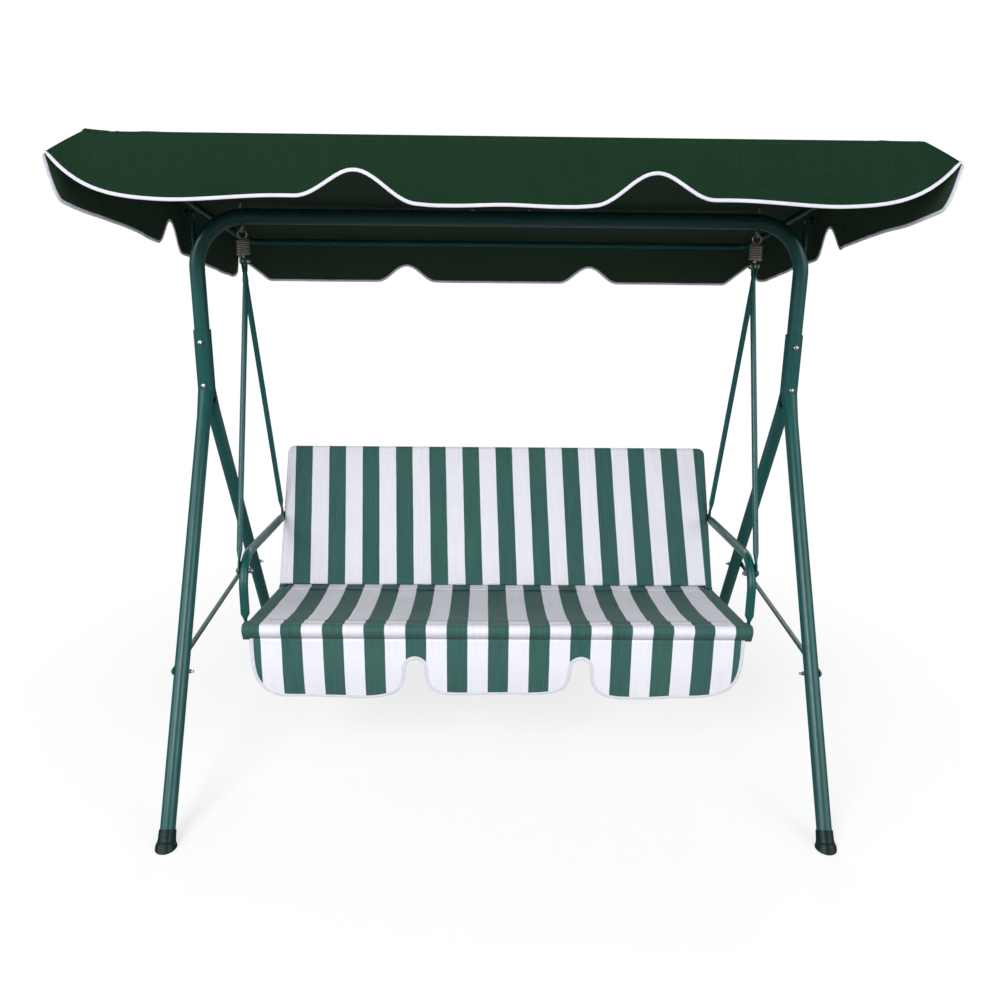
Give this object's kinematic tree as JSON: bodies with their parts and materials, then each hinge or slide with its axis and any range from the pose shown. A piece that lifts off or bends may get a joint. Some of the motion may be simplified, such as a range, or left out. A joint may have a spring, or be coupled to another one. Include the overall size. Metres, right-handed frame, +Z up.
{
  "type": "canopy swing bench",
  "caption": "Freestanding garden swing bench: A-frame legs, spring-hung fabric seat with backrest and armrests, tilting scalloped sun canopy.",
  "frame": {"origin": "on the ground, at the centre of the bounding box in plan", "axes": "+X across the width of the bench, towards the right seen from the front; +Y from the front to the rear; +Z up"},
  "size_m": [1.59, 1.2184, 1.5538],
  "materials": {
    "frame_paint": "gloss powder coat",
    "zinc_fastener": "bright zinc plated",
    "spring_steel": "zinc plated spring wire",
    "black_plastic": "moulded, matte",
    "canopy_fabric": "coated polyester canvas",
    "striped_fabric": "woven canvas in green and white stripes"
  },
  "bodies": {
    "frame": {"brace_bolts": "zinc_fastener", "brace_nuts": "zinc_fastener", "canopy_bracket_left": "frame_paint", "canopy_bracket_right": "frame_paint", "canopy_pivot_bolts": "zinc_fastener", "crossbar_joiner": "frame_paint", "crossbar_left": "frame_paint", "crossbar_right": "frame_paint", "crossbar_screws": "zinc_fastener", "foot_front_left": "black_plastic", "foot_front_right": "black_plastic", "foot_rear_left": "black_plastic", "foot_rear_right": "black_plastic", "front_leg_left": "frame_paint", "front_leg_right": "frame_paint", "hanging_eye_left": "zinc_fastener", "hanging_eye_nuts": "zinc_fastener", "hanging_eye_right": "zinc_fastener", "leg_joint_bolts": "zinc_fastener", "leg_joint_nuts": "zinc_fastener", "rear_leg_left": "frame_paint", "rear_leg_right": "frame_paint", "side_brace_left": "frame_paint", "side_brace_right": "frame_paint"},
    "springs": {"spring_left": "spring_steel", "spring_right": "spring_steel"},
    "spring_pins": {"hanger_pivot_bolts": "zinc_fastener", "hanger_pivot_nuts": "zinc_fastener"},
    "bench": {"hanger_rod_front_left": "frame_paint", "hanger_rod_front_right": "frame_paint", "hanger_rod_rear_left": "frame_paint", "hanger_rod_rear_right": "frame_paint", "rod_end_bolts": "zinc_fastener", "rod_end_nuts": "zinc_fastener", "armrest_left": "frame_paint", "armrest_right": "frame_paint", "armrest_bolts": "zinc_fastener", "armrest_nuts": "zinc_fastener", "seat_front_tube": "frame_paint", "seat_rear_tube": "frame_paint", "seat_rail_left": "frame_paint", "seat_rail_right": "frame_paint", "seat_center_support": "frame_paint", "seat_tube_plugs": "black_plastic", "backrest_frame": "frame_paint", "seat_fabric": "striped_fabric", "backrest_fabric": "striped_fabric"},
    "canopy": {"canopy_front_bow": "frame_paint", "canopy_rear_bow": "frame_paint", "canopy_side_tube_left": "frame_paint", "canopy_side_tube_right": "frame_paint", "canopy_lug_left": "frame_paint", "canopy_lug_right": "frame_paint", "canopy_screws": "zinc_fastener", "canopy_cover": "canopy_fabric"},
    "knob_left": {"canopy_knob_left": "black_plastic"},
    "knob_right": {"canopy_knob_right": "black_plastic"}
  },
  "joints": [
    {"name": "seat_swing", "type": "hinge", "parent": "frame", "child": "springs", "pos_m": [0, 0, 1.3648], "axis": [1, 0, 0], "range_deg": [-18, 18]},
    {"name": "spring_bounce", "type": "slide", "parent": "springs", "child": "spring_pins", "axis": [0, 0, -1], "range_m": [0, 0.015], "stiffness_N_per_m": 60000, "deforming": ["spring_left", "spring_right"]},
    {"name": "seat_rock", "type": "hinge", "parent": "spring_pins", "child": "bench", "pos_m": [0, 0, 1.289], "axis": [1, 0, 0], "range_deg": [-5, 5]},
    {"name": "canopy_tilt", "type": "hinge", "parent": "frame", "child": "canopy", "pos_m": [0, 0, 1.399], "axis": [1, 0, 0], "range_deg": [-12, 18]},
    {"name": "knob_turn_left", "type": "hinge", "parent": "frame", "child": "knob_left", "pos_m": [-0.773, 0, 1.399], "axis": [1, 0, 0], "continuous": true},
    {"name": "knob_turn_right", "type": "hinge", "parent": "frame", "child": "knob_right", "pos_m": [0.773, 0, 1.399], "axis": [1, 0, 0], "continuous": true}
  ]
}
